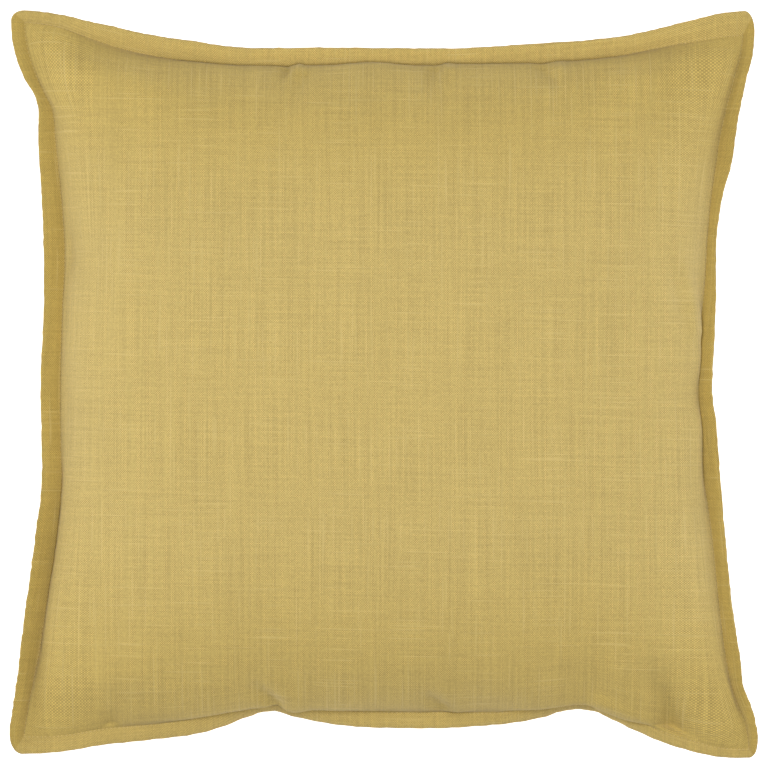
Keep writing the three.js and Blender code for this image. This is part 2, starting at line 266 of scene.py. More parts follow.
FOLDS = (
    Fold((-64, 209), (-70, 189), 3.2, -4.2), Fold((-57, 210), (-69, 188), 3.4, 3.2, -2.4),
    Fold((-55, 204), (-62, 182), 4, -2.4), Fold((35, 209), (33, 190), 3.4, -4.4),
    Fold((43, 210), (37, 190), 3.6, 3.4, -1.6), Fold((107, 210), (117, 194), 4.4, -3.2, 2),
    Fold((119, 210), (125, 190), 5, 3), Fold((-208, 211), (-126, 190), 11, 3.4),
    Fold((-210, 213), (-238, 242), 8, 1.8), Fold((-222, 222), (-200, 186), 10, -2),
    Fold((165, 202), (238, 224), 10, 3), Fold((203, 186), (238, 226), 10, 2.4),
    Fold((208, 36), (196, 88), 5, 3, -3), Fold((200, 52), (186, 92), 7, -2.4, -2),
    Fold((208, -8), (180, -14), 14, -2.4), Fold((-212, 88), (-184, 92), 14, -2.4),
    Fold((-214, 20), (-190, 18), 12, 1.6), Fold((-71, -214), (-90, -199), 4.2, -4.6),
    Fold((-60, -217), (-74, -192), 8, 2.6), Fold((39, -216), (26, -205), 4, -4),
    Fold((50, -218), (38, -198), 7, 2), Fold((128, -206), (120, -182), 13, -2),
    Fold((194, -232), (164, -184), 14, -6, -4), Fold((192, -230), (176, -192), 7, -3.6, -3),
    Fold((146, -214), (188, -231), 5, 3),
    Fold((168, -210), (146, -186), 13, 2.5), Fold((-184, -229), (-178, -213), 5, -2.4),
    Fold((-160, -192), (-236, -208), 13, 3), Fold((236, -208), (206, -184), 12, 2.4),
)


@dataclass(frozen=True)
class FlangeStation:
    """A place across one layer of the flange.

    Attributes:
        cut: flat distance from the stitching along the cloth.
        out: distance from the stitching in the flange's plane.
        half: height of the layer's outer face above the flange's middle surface.
    """

    cut: float
    out: float
    half: float


FLANGE_STATIONS = (
    FlangeStation(0.7, 0.7, 0.46), FlangeStation(1.5, 1.5, 0.62), FlangeStation(2.6, 2.6, 0.9),
    FlangeStation(4.2, 4.2, 1.2), FlangeStation(6, 6, 1.42), FlangeStation(8.2, 8.2, 1.54),
    FlangeStation(10.6, 10.6, 1.56), FlangeStation(12.7, 12.7, 1.42), FlangeStation(14.1, 14.1, 1.12),
    FlangeStation(14.9, 14.8, 0.76), FlangeStation(15.4, 15, 0.4), FlangeStation(15.8, 14.7, 0.1),
    FlangeStation(16, 14.3, 0),
)
CAGE_STATIONS = (FlangeStation(7, 7, 1), FlangeStation(15, 15, 0))


@dataclass
class SewnForm:
    """The form that the cover takes: its outline, its flange and its two crowned panels.

    Attributes:
        cover: side of the flat cover.
        flange: width of the flat flange.
        seam_height: height of the stitching above the floor.
        front_crown: rise of the face above the stitching.
        back_crown: drop of the back below it, before the floor presses it.
        tip_radius: radius of the cover's four tips.
        crown_power: fullness of the crown, the power of the distance from the middle.
        crown_edge: steepness of the crown beside the stitching, the power of its rise.
        corner_soften: how much gentler the crown gets towards a corner.
        corner_from: where that starts, as a share of the way to the next seam.
        front_slack: share of its cloth that the face's crown takes up.
        back_slack: the same for the back.
        least_slack: least share that is reckoned with.
        neck: width of cloth that the stitching holds flat.
        bulge_at: distance from the stitching at which the face hangs out furthest.
        bulge_gain: makes up for what the neck and the crown take from the overhang.
        back_bulge: share of the overhang that the back has where the flange is turned up.
        full_lean: slope of the flange in degrees at which it has all of that share.
        twist: how far opposite corners are raised or lowered.
        corner_drop: how far all four corners hang down.
        ripple: height of the waves in the stitching's surface.
        ripple_length: their length.
        corner_passes: rounds in which a corner is found.
        stitched: half of the thickness of both layers at the stitching.
        corners: plans of the corners of the stitching, "seam", and of the edge, "edge".
    """

    cover: float = 508
    flange: float = 15
    seam_height: float = 58
    front_crown: float = 74
    back_crown: float = 70
    tip_radius: float = 13
    crown_power: float = 2.2
    crown_edge: float = 0.56
    corner_soften: float = 0.2
    corner_from: float = 0.66
    front_slack: float = 0.1
    back_slack: float = 0.09
    least_slack: float = 0.001
    neck: float = 2.5
    bulge_at: float = 11
    bulge_gain: float = 1.35
    back_bulge: float = 0.5
    full_lean: float = 15
    twist: float = 3
    corner_drop: float = 4
    ripple: float = 1.2
    ripple_length: float = 128
    corner_passes: int = 14
    stitched: float = 0.42
    corners: dict[str, dict[Corner, Array]] = field(init=False)

    def __post_init__(self) -> None:
        """Find where the sides cross, along their stitching and along their edges."""
        self.corners = {line: {c: self.crossing(c, line) for c in Corner} for line in ("edge", "seam")}

    @property
    def half(self) -> float:
        """Half of the flat cover."""
        return self.cover / 2

    @property
    def half_seam(self) -> float:
        """Half of the flat square inside the stitching."""
        return self.half - self.flange

    def crossing(self, corner: Corner, line: str) -> Array:
        """Find a corner of the stitching or of the edge.

        Args:
            corner: which corner.
            line: "edge" or "seam".

        Returns:
            Its plan.
        """
        across, beside = (TOP if corner.value[0] > 0 else BOTTOM), (RIGHT if corner.value[1] > 0 else LEFT)
        column = 0 if line == "edge" else 1
        x, y = beside.sign * self.half_seam, across.sign * self.half_seam
        for _ in range(self.corner_passes):
            x = beside.sign * float(beside.read(np.array(y))[column])
            y = across.sign * float(across.read(np.array(x))[column])
        return np.array([x, y])

    def seam_line(self, side: SideRun, share: Array) -> Array:
        """Follow the stitching of a side.

        Args:
            side: the side.
            share: from 0 to 1 between its two corners.

        Returns:
            The plan of each place.
        """
        seam = self.corners["seam"]
        if side.axis == 0:
            start, end = seam[Corner((side.sign, -1))], seam[Corner((side.sign, 1))]
        else:
            start, end = seam[Corner((-1, side.sign))], seam[Corner((1, side.sign))]
        line = start + share[..., None] * (end - start)
        line[..., 1 - side.axis] = side.sign * side.read(line[..., side.axis])[1]
        return line

    def panel_plan(self, u: Array, v: Array) -> Array:
        """Place flat cloth inside the stitching, u and v from -1 to 1 between opposite seams."""
        right, up = (u + 1) / 2, (v + 1) / 2
        wide, tall = right[..., None], up[..., None]
        near, low = 1 - wide, 1 - tall
        seam = self.corners["seam"]
        plan = low * self.seam_line(BOTTOM, right) + tall * self.seam_line(TOP, right)
        plan = plan + near * self.seam_line(LEFT, up) + wide * self.seam_line(RIGHT, up)
        plan = plan - near * low * seam[Corner.BOTTOM_LEFT] - wide * low * seam[Corner.BOTTOM_RIGHT]
        return plan - near * tall * seam[Corner.TOP_LEFT] - wide * tall * seam[Corner.TOP_RIGHT]

    def seam_surface(self, plan: Array) -> Array:
        """Give the height of the stitching's surface above the floor."""
        right, up = plan[..., 0] / self.half, plan[..., 1] / self.half
        corner = (right * up) ** 2
        wave = np.sin(2 * np.pi * (plan[..., 0] + plan[..., 1]) / self.ripple_length)
        drop = -self.twist * right * up - self.corner_drop * corner
        return self.seam_height + drop + self.ripple * wave * (right**4 + up**4 - corner)

    def shoulder(self, place: Array, other: Array | float = 0.0) -> Array:
        """Give the crown's rise at a place between two seams, 1 in the middle and gentler at the corners."""
        power = self.crown_edge + self.corner_soften * smooth_step(np.abs(other), self.corner_from, 1)
        return np.maximum(0, 1 - np.abs(place) ** self.crown_power) ** power

    def drawn_in(self, place: Array, slack: Array) -> Array:
        """Move a thread inwards by what the crown takes of its cloth."""
        share = np.maximum(slack, self.least_slack)
        return place * (1 + share - share * np.abs(place) ** (1 / share))

    def crowned(self, u: Array, v: Array, panel: Panel) -> Array:
        """Place a panel's cloth on its crown.

        Args:
            u: thread along x, from -1 to 1 between the seams.
            v: thread along y.
            panel: the face or the back.

        Returns:
            The points, before folds and before the floor presses the back.
        """
        face = panel is Panel.FACE
        slack = self.front_slack if face else self.back_slack
        drawn_u = self.drawn_in(u, slack * self.shoulder(v))
        drawn_v = self.drawn_in(v, slack * self.shoulder(u))
        plan = self.panel_plan(drawn_u, drawn_v)
        base = self.seam_surface(plan)
        for side in SIDES:
            place, other = (v, u) if side.axis == 0 else (u, v)
            _, _, over, slope = side.read(plan[..., side.axis])
            share = 1.0 if face else self.back_bulge * smooth_step(slope, 0, np.radians(self.full_lean))
            cloth = np.maximum(0, self.half_seam * (1 - side.sign * place) - self.neck) / self.bulge_at
            reach = self.bulge_gain * over * share * cloth * np.exp(1 - cloth) * self.shoulder(other) ** 2
            plan[..., 1 - side.axis] += side.sign * reach
        crown = self.front_crown if face else -self.back_crown
        rise = crown * self.shoulder(drawn_u, drawn_v) * self.shoulder(drawn_v, drawn_u)
        return np.concatenate([plan, (base + rise)[..., None]], axis=-1)

    def rounded(self, a: Array, b: Array) -> tuple[Array, Array]:
        """Round the four tips of flat places on the cover's square."""
        start = self.half - self.tip_radius
        p = np.maximum(np.abs(a) - start, 0) / self.tip_radius
        q = np.maximum(np.abs(b) - start, 0) / self.tip_radius
        tip = (p > 0) & (q > 0)
        round_a = np.sign(a) * (start + self.tip_radius * p * np.sqrt(np.maximum(0, 1 - q * q / 2)))
        round_b = np.sign(b) * (start + self.tip_radius * q * np.sqrt(np.maximum(0, 1 - p * p / 2)))
        return np.where(tip, round_a, a), np.where(tip, round_b, b)

    def flange_middle(self, a: Array, b: Array) -> Array:
        """Place the flange's middle surface.

        Args:
            a: flat place along x, outside the stitching or on it.
            b: flat place along y.

        Returns:
            The points.
        """
        out_a = (np.maximum(0, np.abs(a) - self.half_seam) / self.flange)[..., None]
        out_b = (np.maximum(0, np.abs(b) - self.half_seam) / self.flange)[..., None]
        seam = self.panel_plan(np.clip(a / self.half_seam, -1, 1), np.clip(b / self.half_seam, -1, 1))
        beside_edge, beside_seam, _, beside_slope = self.pick(a > 0, RIGHT, LEFT, seam[..., 1])
        across_edge, across_seam, _, across_slope = self.pick(b > 0, TOP, BOTTOM, seam[..., 0])
        beside = np.stack([np.where(a > 0, 1, -1) * beside_edge, seam[..., 1]], axis=-1)
        across = np.stack([seam[..., 0], np.where(b > 0, 1, -1) * across_edge], axis=-1)
        tip = np.zeros(seam.shape)
        for corner, point in self.corners["edge"].items():
            tip[((b > 0) == (corner.value[0] > 0)) & ((a > 0) == (corner.value[1] > 0))] = point
        plan = seam * (1 - out_a) * (1 - out_b) + beside * out_a * (1 - out_b)
        plan = plan + across * (1 - out_a) * out_b + tip * out_a * out_b
        lift = out_a[..., 0] * (beside_edge - beside_seam) * np.tan(beside_slope)
        lift = lift + out_b[..., 0] * (across_edge - across_seam) * np.tan(across_slope)
        return np.concatenate([plan, (self.seam_surface(plan) + lift)[..., None]], axis=-1)

    @staticmethod
    def pick(first: Array, side: SideRun, other: SideRun, at: Array) -> tuple[Array, ...]:
        """Read one side where first holds and the other elsewhere."""
        return tuple(np.where(first, one, two) for one, two in zip(side.read(at), other.read(at)))

    def flange_normal(self, a: Array, b: Array) -> Array:
        """Give the upward normal of the flange at flat places outside the stitching or on it."""
        seam = self.half_seam
        out_a, out_b = np.maximum(0, np.abs(a) - seam), np.maximum(0, np.abs(b) - seam)
        most = np.maximum(out_a, out_b)
        on_a, on_b = np.abs(a) >= seam - TOUCHING, np.abs(b) >= seam - TOUCHING
        weight_a = np.where(most > 0, out_a / np.maximum(most, LEAST), on_a)
        weight_b = np.where(most > 0, out_b / np.maximum(most, LEAST), on_b)
        seam_a, seam_b = np.clip(a, -seam, seam), np.clip(b, -seam, seam)
        edge_a, edge_b = self.rounded(
            seam_a + np.sign(a) * self.flange * weight_a, seam_b + np.sign(b) * self.flange * weight_b)
        outward = unit(self.flange_middle(edge_a, edge_b) - self.flange_middle(seam_a, seam_b))
        level = np.maximum(np.hypot(outward[..., 0], outward[..., 1]), LEAST)
        return np.stack([
            -outward[..., 0] / level * outward[..., 2], -outward[..., 1] / level * outward[..., 2], level], axis=-1)


@dataclass(frozen=True)
class Layout:
    """Flat places along one side of the square cover that a mesh follows.

    Attributes:
        cut: place on the cloth, from the middle.
        lay: place in the flange's plane, the same inside the stitching.
        half: height of the flange layer's outer face, 0 inside the stitching.
        seam: index of the stitching at the low end.
    """

    cut: Array
    lay: Array
    half: Array
    seam: int

    @property
    def inner(self) -> slice:
        """Stations on the stitching and inside it."""
        return slice(self.seam, len(self.cut) - self.seam)


def lay_out(form: SewnForm, steps: int, crowding: float, stations: tuple[FlangeStation, ...]) -> Layout:
    """Space the threads that a mesh follows.

    Args:
        form: the sewn form.
        steps: steps between the two seams.
        crowding: how much closer together the threads lie near the stitching.
        stations: places across the flange, from the stitching outwards.

    Returns:
        The layout.
    """
    even = np.linspace(-1, 1, steps + 1)
    inner = form.half_seam * (even + crowding * np.sin(np.pi * even))
    cut = form.half_seam + np.array([s.cut for s in stations])
    lay = form.half_seam + np.array([s.out for s in stations])
    half = np.array([s.half for s in stations])
    edge = np.full(steps + 1, form.stitched)
    return Layout(
        np.concatenate([-cut[::-1], inner, cut]), np.concatenate([-lay[::-1], inner, lay]),
        np.concatenate([half[::-1], edge, half]), len(stations))


@dataclass(frozen=True)
class Settling:
    """How the cover's cloth behaves while it settles over its filling.

    Attributes:
        frames: length of the run.
        quality: the solver's steps in each frame.
        mass: weight of the cloth.
        pressure: push of the filling.
        tension: stiffness against stretching.
        compression: stiffness against squeezing.
        shear: stiffness against slanting.
        bending: stiffness against bending.
        damping: damping of stretching and squeezing.
        shear_damping: damping of slanting.
        air: drag of the air.
    """

    frames: int = 36
    quality: int = 8
    mass: float = 0.15
    pressure: float = 5.5
    tension: float = 40
    compression: float = 20
    shear: float = 3
    bending: float = 1.2
    damping: float = 8
    shear_damping: float = 5
    air: float = 3

    def set_up(self, modifier: bpy.types.ClothModifier, cut: bpy.types.ShapeKey, held: str) -> None:
        """Give a cloth modifier these values.

        Args:
            modifier: the modifier.
            cut: the shape key of the cloth as it was cut.
            held: name of the vertex group that holds the flange.
        """
        settings = modifier.settings
        settings.rest_shape_key = cut
        settings.vertex_group_mass = held
        settings.quality = self.quality
        settings.mass = self.mass
        settings.tension_stiffness, settings.compression_stiffness = self.tension, self.compression
        settings.shear_stiffness, settings.bending_stiffness = self.shear, self.bending
        settings.tension_damping = settings.compression_damping = self.damping
        settings.shear_damping = self.shear_damping
        settings.air_damping = self.air
        settings.use_pressure = True
        settings.uniform_pressure_force = self.pressure
        settings.effector_weights.gravity = 0
        modifier.point_cache.frame_end = self.frames


@dataclass
class PillowCover:
    """The filled cover: both panels and both flange layers, one closed skin.

    Attributes:
        form: the sewn form.
        settling: how its cloth settles.
        steps: steps of the mesh between two seams.
        crowding: how much closer together they lie near the stitching.
        panel_gap: distance between the two panels in the coordinate maps.
        floor_softness: how softly the back leaves the floor.
        fade_from: width of cloth beside the stitching that has no folds.
        seam_fade: width of cloth beyond it over which they grow whole.
        fold_lean: sideways share of a fold's push.
        fill: how full the cover is; not used.
        cage_steps: steps of the coarse mesh that is simulated.
        cage_crowding: its crowding.
        let_in: share of the crown from which it starts.
        most_move: most that a point may move by it.
        pinned_cloth: width of cloth beside the stitching that is held.
        pucker: height of the puckers beside the stitching.
        pucker_reach: distance over which they fade out.
        pucker_calm: distance from a corner over which they grow whole.
        pucker_lengths: lengths of their waves.
        pucker_seed: seed of the first side's waves; the other sides' follow it.
        lump: height of the lumps of filling.
        lump_reach: distance from the stitching over which they grow whole.
        lump_lengths: lengths of their waves.
        lump_slants: slant of each of the two sets of waves.
        lump_seeds: seed of each set.
        brow: height of a broad ridge below the top seam, and of one above the bottom seam.
        brow_at: distance of the ridges from the stitching.
        brow_width: distance at which they have lost two thirds of their height.
        straighten: how far threads are straightened, as a share.
        straight_from: width of cloth beside the stitching in which they aren't.
        straight_at: width of cloth from which they wholly are.
        straight_reach: reach of the middle threads from which the weave is read.
        beyond: how far those threads are carried on past their ends.
        weft_tilt: slope of the weft.
        edge_wave: height of the flange's waves at its edge.
        edge_ripple: how far its edge waves in and out.
        edge_growth: power by which the waves grow towards the edge.
        edge_calm: distance from a corner over which they grow whole.
        edge_lengths: lengths of the waves.
        edge_seeds: seed of the waves up and down, and of those in and out.
        sides_apart: distance from side to side on the line along which the waves run.
    """

    form: SewnForm
    settling: Settling = Settling()
    steps: int = 196
    crowding: float = 0.2
    panel_gap: float = 1100
    floor_softness: float = 3
    fade_from: float = 0.8
    seam_fade: float = 9
    fold_lean: float = 0.4
    fill: float = 0.72
    cage_steps: int = 54
    cage_crowding: float = 0.06
    let_in: float = 0.97
    most_move: float = 7
    pinned_cloth: float = 4
    pucker: float = 0.55
    pucker_reach: float = 13
    pucker_calm: float = 25
    pucker_lengths: tuple[float, ...] = (9, 13, 19, 31, 47)
    pucker_seed: int = 41
    lump: float = 0.18
    lump_reach: float = 60
    lump_lengths: tuple[float, ...] = (58, 83, 131)
    lump_slants: tuple[float, float] = (0.6, -0.4)
    lump_seeds: tuple[int, int] = (31, 32)
    brow: tuple[float, float] = (4.6, 2.2)
    brow_at: float = 60
    brow_width: float = 30
    straighten: float = 0.94
    straight_from: float = 3
    straight_at: float = 60
    straight_reach: float = 200
    beyond: float = 90
    weft_tilt: float = 0.02
    edge_wave: float = 1.2
    edge_ripple: float = 0.35
    edge_growth: float = 1.5
    edge_calm: float = 12
    edge_lengths: tuple[float, ...] = (5.5, 8.5, 14, 27, 52)
    edge_seeds: tuple[int, int] = (21, 22)
    sides_apart: float = 1000

    def surface(self, layout: Layout, panel: Panel) -> Array:
        """Place every station of a layout on the sewn form, without folds.

        Args:
            layout: the stations along both axes.
            panel: the face or the back.

        Returns:
            Points in an array of stations along x, stations along y, and x, y, z.
        """
        form = self.form
        a, b = np.meshgrid(layout.lay, layout.lay, indexing="ij")
        half_a, half_b = np.meshgrid(layout.half, layout.half, indexing="ij")
        points = form.crowned(np.clip(a / form.half_seam, -1, 1), np.clip(b / form.half_seam, -1, 1), panel)
        cloth = form.half_seam - np.maximum(np.abs(a), np.abs(b))
        lift = form.stitched * np.exp(-np.maximum(cloth, 0) / form.neck)
        normal = np.zeros(points.shape)
        normal[..., 2] = 1
        ring = cloth <= TOUCHING
        round_a, round_b = form.rounded(a[ring], b[ring])
        normal[ring] = form.flange_normal(a[ring], b[ring])
        points[ring] = form.flange_middle(round_a, round_b) + self.flange_wave(a[ring], b[ring], normal[ring])
        size = len(layout.cut)
        order = np.abs(np.arange(size) - (size - 1) / 2)
        outer = order[:, None] >= order[None, :]
        lift[ring] = np.where(outer, half_a, half_b)[ring]
        return points + panel.value * lift[..., None] * normal

    def flange_wave(self, a: Array, b: Array, normal: Array) -> Array:
        """Give how far the flange waves, more towards its edge.

        Args:
            a: flat place along x.
            b: flat place along y.
            normal: the flange's normal there.

        Returns:
            The move of each point.
        """
        half_seam = self.form.half_seam
        beside = np.abs(a) >= np.abs(b)
        out = np.clip((np.maximum(np.abs(a), np.abs(b)) - half_seam) / self.form.flange, 0, 1)
        turn = np.where(beside, np.sign(a), 2 * np.sign(b))
        along = np.where(beside, b, a) + self.sides_apart * turn
        level = 0 * a
        outward = np.stack([np.where(beside, np.sign(a), level), np.where(beside, level, np.sign(b)), level], -1)
        calm = smooth_step(half_seam - np.minimum(np.abs(a), np.abs(b)), 0, self.edge_calm)
        fade = out**self.edge_growth * calm
        wave = self.edge_wave * waves(along, self.edge_lengths, self.edge_seeds[0]) * fade
        ripple = self.edge_ripple * waves(along, self.edge_lengths, self.edge_seeds[1]) * fade
        return wave[..., None] * normal + ripple[..., None] * outward

    def softness(self, a: Array, b: Array) -> Array:
        """Give the face's uneven lift: lumps of filling, puckers beside the stitching, and ridges."""
        half_seam = self.form.half_seam
        cloth = half_seam - np.maximum(np.abs(a), np.abs(b))
        whole = smooth_step(cloth, 0, self.lump_reach)
        lift = np.zeros(np.shape(a))
        for one, other, slant, seed in zip((a, b), (b, a), self.lump_slants, self.lump_seeds):
            lift = lift + self.lump * waves(one + slant * other, self.lump_lengths, seed) * whole
        for number, (across, along) in enumerate(((a, b), (-a, b), (b, a), (-b, a))):
            near = np.maximum(half_seam - across, 0)
            fade = np.exp(-near / self.pucker_reach) * smooth_step(half_seam - np.abs(along), 0, self.pucker_calm)
            lift = lift + self.pucker * waves(along, self.pucker_lengths, self.pucker_seed + number) * fade
        for sign, height in zip((1, -1), self.brow):
            inside = (half_seam - sign * b - self.brow_at) / self.brow_width
            lift = lift + height * np.exp(-(inside**2)) * (1 - (a / half_seam) ** 4)
        return lift

    def woven(self, layout: Layout, points: Array) -> Array:
        """Give each point its place in the weave, whose threads run straight but for the seam's pull.

        Args:
            layout: the stations along both axes.
            points: the panel's points.

        Returns:
            For each point, its place across the warp and its place along it.
        """
        middle = len(layout.cut) // 2
        inner = np.abs(layout.cut) <= self.straight_reach
        a, b = np.meshgrid(layout.cut, layout.cut, indexing="ij")
        ends = np.array([-self.beyond, self.beyond])
        threads = layout.cut[inner]
        threads = np.concatenate([threads[:1] + ends[0], threads, threads[-1:] + ends[1]])
        woven = []
        tilted = points[..., 1] + self.weft_tilt * points[..., 0]
        lines = ((a, points[..., 0], points[inner, middle, 0]), (b, tilted, points[middle, inner, 1]))
        for flat, plan, line in lines:
            line = np.concatenate([line[:1] + ends[0], line, line[-1:] + ends[1]])
            share = smooth_step(self.form.half_seam - np.abs(flat), self.straight_from, self.straight_at)
            woven.append(flat + self.straighten * share * (np.interp(plan, line, threads) - flat))
        return np.stack(woven, axis=-1)

    @staticmethod
    def skin_order(pair: dict[Panel, Array]) -> Array:
        """Put the values of both panels in the order of the skin's points, one row for each."""
        parts = pair[Panel.FACE], pair[Panel.BACK][1:-1, 1:-1]
        return np.concatenate([part.reshape(len(part) ** 2, -1) for part in parts])

    def skin(self, name: str, sheets: dict[Panel, Array], maps: dict[str, dict[Panel, Array]]) -> bpy.types.Object:
        """Join the grids of both panels' points along the face's outermost ring.

        Args:
            name: the object's name.
            sheets: each panel's points; the back's outermost ring isn't used.
            maps: for each coordinate map's name, the places of each panel's points.

        Returns:
            The object, in metres.
        """
        size = len(sheets[Panel.FACE])
        front = np.arange(size * size).reshape(size, size)
        rear = front.copy()
        rear[1:-1, 1:-1] = size * size + np.arange((size - 2) ** 2).reshape(size - 2, size - 2)
        grid = quads(front)
        faces = np.concatenate([grid, quads(rear)[:, ::-1]])
        mesh = bpy.data.meshes.new(name)
        mesh.from_pydata((self.skin_order(sheets) * MM).tolist(), [], faces.tolist())
        for title, places in maps.items():
            face_places = places[Panel.FACE].reshape(-1, 2)
            back_places = places[Panel.BACK].reshape(-1, 2) + (self.panel_gap, 0)
            both = np.concatenate([face_places[grid], back_places[grid[:, ::-1]]])
            mesh.uv_layers.new(name=title).data.foreach_set("uv", (both * MM).ravel())
        mesh.polygons.foreach_set("use_smooth", [True] * len(mesh.polygons))
        mesh.validate()
        return put(name, mesh)

    def press(self, points: Array) -> Array:
        """Press the back flat on the floor, softly where it lifts off."""
        z = points[..., 2]
        points[..., 2] = (z + np.sqrt(z * z + self.floor_softness**2)) / 2
        return points

    def settle(self, layout: Layout, laid: dict[Panel, Array]) -> Array:
        """Run the cloth simulation on a coarse cover, with its flange held.

        Args:
            layout: the coarse cover's stations.
            laid: its points as they lie over the filling.

        Returns:
            The settled points, in the skin's order.
        """
        form = self.form
        start = {}
        for panel, points in laid.items():
            seam = form.seam_surface(points[..., :2])
            start[panel] = points.copy()
            start[panel][..., 2] = seam + (points[..., 2] - seam) * self.let_in
        a, b = np.meshgrid(layout.cut, layout.cut, indexing="ij")
        flat = {panel: np.stack([a, b, np.full(a.shape, float(panel.value))], -1) for panel in Panel}
        hold = 1 - smooth_step(form.half_seam - np.maximum(np.abs(a), np.abs(b)), 0, self.pinned_cloth)
        cage = self.skin("cover_cage", start, {})
        cage.shape_key_add(name="laid")
        cut = cage.shape_key_add(name="cut")
        cut.data.foreach_set("co", (self.skin_order(flat) * MM).ravel())
        group = cage.vertex_groups.new(name="held")
        for index, weight in enumerate(self.skin_order({panel: hold for panel in Panel})[:, 0].tolist()):
            group.add([index], weight, "REPLACE")
        self.settling.set_up(cage.modifiers.new("cloth", "CLOTH"), cut, group.name)
        scene = bpy.context.scene
        scene.frame_start, scene.frame_end = 1, self.settling.frames
        for step in range(1, self.settling.frames + 1):
            scene.frame_set(step)
        settled = cage.evaluated_get(bpy.context.evaluated_depsgraph_get()).to_mesh()
        ends = np.empty(len(settled.vertices) * 3)
        settled.vertices.foreach_get("co", ends)
        bpy.data.objects.remove(cage)
        scene.frame_set(1)
        return ends.reshape(-1, 3) / MM

    def relax(self, inner: Array) -> dict[Panel, Array]:
        """Let the cover settle as cloth over its filling.

        Args:
            inner: flat places inside the stitching where the movement is wanted.

        Returns:
            For each panel, how far the cloth moved at those places.
        """
        layout = lay_out(self.form, self.cage_steps, self.cage_crowding, CAGE_STATIONS)
        laid = {panel: self.press(self.surface(layout, panel)) for panel in Panel}
        ends = self.settle(layout, laid)
        size = len(layout.cut)
        moved = {Panel.FACE: ends[:size * size].reshape(size, size, 3) - laid[Panel.FACE]}
        moved[Panel.BACK] = np.zeros(moved[Panel.FACE].shape)
        inside = laid[Panel.BACK][1:-1, 1:-1]
        moved[Panel.BACK][1:-1, 1:-1] = ends[size * size:].reshape(inside.shape) - inside
        places = layout.cut[layout.inner]
        result = {}
        for panel, move in moved.items():
            length = np.linalg.norm(move, axis=-1, keepdims=True)
            LOG.info("cloth moved %s: mean %.1f mm, most %.1f mm", panel.name, length.mean(), length.max())
            move = move * self.most_move * np.tanh(length / self.most_move) / np.maximum(length, LEAST)
            along = through(places, move[layout.inner, layout.inner], inner)
            result[panel] = np.swapaxes(through(places, np.swapaxes(along, 0, 1), inner), 0, 1)
        return result

    def build(self) -> tuple[bpy.types.Object, dict[Panel, Array], Layout]:
        """Build the cover.

        Returns:
            Its object, the points of its two panels, and their layout.
        """
        form = self.form
        layout = lay_out(form, self.steps, self.crowding, FLANGE_STATIONS)
        sheets = {panel: self.surface(layout, panel) for panel in Panel}
        inner = layout.inner
        sheets[Panel.BACK] = self.press(sheets[Panel.BACK])
        for panel, move in self.relax(layout.cut[inner]).items():
            sheets[panel][inner, inner] += move
        face = sheets[Panel.FACE]
        normal = unit(np.cross(np.gradient(face, axis=0), np.gradient(face, axis=1)))
        a, b = np.meshgrid(layout.lay, layout.lay, indexing="ij")
        cloth = form.half_seam - np.maximum(np.abs(a), np.abs(b))
        lift = sum(fold.lift(face[..., :2]) for fold in FOLDS) + self.softness(a, b)
        lift = lift * smooth_step(cloth, self.fade_from, self.fade_from + self.seam_fade)
        normal[..., :2] *= self.fold_lean
        sheets[Panel.FACE] = face + lift[..., None] * unit(normal)
        sheets[Panel.BACK] = self.press(sheets[Panel.BACK])
        lowest = min(points[..., 2].min() for points in sheets.values())
        for points in sheets.values():
            points[..., 2] -= lowest
        flat = np.stack(np.meshgrid(layout.cut, layout.cut, indexing="ij"), -1)
        maps = {"cloth": {panel: flat for panel in Panel},
                "weave": {panel: self.woven(layout, points) for panel, points in sheets.items()}}
        return self.skin("cover", sheets, maps), sheets, layout


class Wire:
    """A shader socket that takes part in Python expressions."""

    def __init__(self, bench: "NodeBench", socket: bpy.types.NodeSocket) -> None:
        """Keep the socket and the bench that adds nodes for it."""
        self.bench = bench
        self.socket = socket

    def math(self, operation: str, *others: "Wire | float", first: "Wire | float | None" = None) -> "Wire":
        """Add a Math node.

        Args:
            operation: the node's operation.
            others: its further values.
            first: its first value, this wire where none is given.

        Returns:
            The node's result.
        """
        values = (self if first is None else first, *others)
        return self.bench.add("ShaderNodeMath", {"operation": operation}, dict(enumerate(values)))

    def __add__(self, other: "Wire | float") -> "Wire":
        """Add."""
        return self.math("ADD", other)

    __radd__ = __add__

    def __sub__(self, other: "Wire | float") -> "Wire":
        """Subtract."""
        return self.math("SUBTRACT", other)

    def __rsub__(self, other: "Wire | float") -> "Wire":
        """Subtract from a number."""
        return self.math("SUBTRACT", self, first=other)

    def __mul__(self, other: "Wire | float") -> "Wire":
        """Multiply."""
        return self.math("MULTIPLY", other)

    __rmul__ = __mul__

    def __abs__(self) -> "Wire":
        """Drop the sign."""
        return self.math("ABSOLUTE")

    def __gt__(self, other: "Wire | float") -> "Wire":
        """Give 1 where this is greater."""
        return self.math("GREATER_THAN", other)

    def floor(self) -> "Wire":
        """Round down."""
        return self.math("FLOOR")

    def sine(self) -> "Wire":
        """Give the sine."""
        return self.math("SINE")

    def larger(self, other: "Wire | float") -> "Wire":
        """Give the larger of two values."""
        return self.math("MAXIMUM", other)

    def rise(self, low: float, high: float) -> "Wire":
        """Rise smoothly from 0 at low to 1 at high, or fall where high is the lower."""
        return self.bench.add("ShaderNodeMapRange", {"interpolation_type": "SMOOTHSTEP"}, {0: self, 1: low, 2: high})


